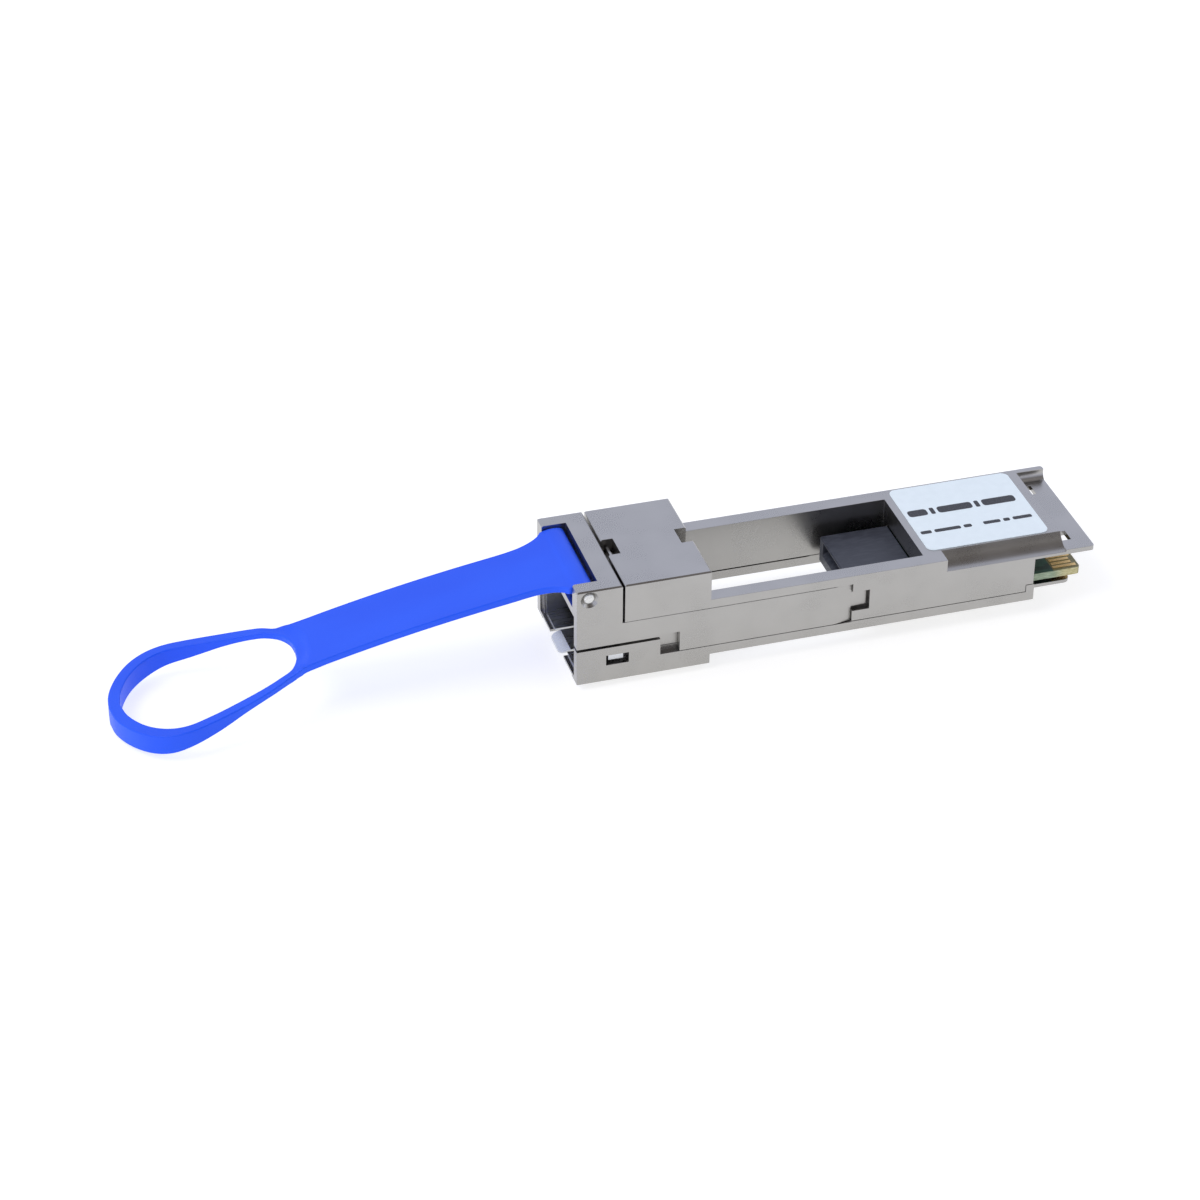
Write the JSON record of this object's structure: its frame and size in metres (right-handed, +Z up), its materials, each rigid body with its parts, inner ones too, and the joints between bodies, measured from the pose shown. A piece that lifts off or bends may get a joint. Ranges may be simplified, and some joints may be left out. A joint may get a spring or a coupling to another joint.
{
  "type": "optical transceiver port adapter module",
  "caption": "Plug-in network port adapter: metal body with card edge, open bay for a small optical transceiver, sprung release slide and flexible pull tab.",
  "frame": {"origin": "on the centre line, where the plane of the hard stop shoulder behind the front block meets the plane of the plug body's underside", "axes": "+X is the insertion direction, towards the card edge; +Z is up, towards the labelled deck; +Y is to the left seen from the front opening"},
  "size_m": [0.1304, 0.0198, 0.0149],
  "materials": {
    "plated_casting": "satin nickel-plated zinc casting",
    "blue_elastomer": "smooth satin moulded elastomer",
    "polished_steel": "turned steel",
    "spring_steel": "rolled spring steel",
    "board_green": "solder mask over glass laminate",
    "gold_contact": "gold plating",
    "black_plastic": "moulded liquid-crystal polymer",
    "dark_ferrite": "sintered, matte",
    "ceramic_tan": "ceramic with tinned ends",
    "label_white": "satin white film with printed dashes"
  },
  "bodies": {
    "module_body": {"upper_housing": "plated_casting", "lower_shell": "plated_casting", "return_spring_left": "spring_steel", "return_spring_right": "spring_steel", "chamber_lid": "spring_steel", "port_liner": "spring_steel", "circuit_board": "board_green", "upper_edge_contacts": "gold_contact", "lower_edge_contacts": "gold_contact", "connector_housing": "black_plastic", "upper_contacts": "gold_contact", "lower_contacts": "gold_contact", "control_chip": "black_plastic", "memory_chip": "black_plastic", "filter_inductors": "dark_ferrite", "capacitors": "ceramic_tan", "resistors": "dark_ferrite", "housing_screws": "polished_steel", "rating_label": "label_white"},
    "slide": {"release_slide": "plated_casting", "tab_pin": "polished_steel"},
    "tab": {"pull_tab": "blue_elastomer"},
    "tongue": {"latch_tongue": "spring_steel"}
  },
  "joints": [
    {"name": "release_pull", "type": "slide", "parent": "module_body", "child": "slide", "axis": [-1, 0, 0], "range_m": [0, 0.0025], "stiffness_N_per_m": 1200, "springref_m": -0.001, "deforming": ["return_spring_left", "return_spring_right"]},
    {"name": "tab_swing", "type": "hinge", "parent": "slide", "child": "tab", "pos_m": [-0.0163, 0, 0.0115], "axis": [0, 1, 0], "range_deg": [-20, 60]},
    {"name": "tongue_flex", "type": "hinge", "parent": "module_body", "child": "tongue", "pos_m": [-0.009, 0, -0.00068], "axis": [0, 1, 0], "range_deg": [-6, 0], "stiffness_Nm_per_rad": 0.35}
  ]
}
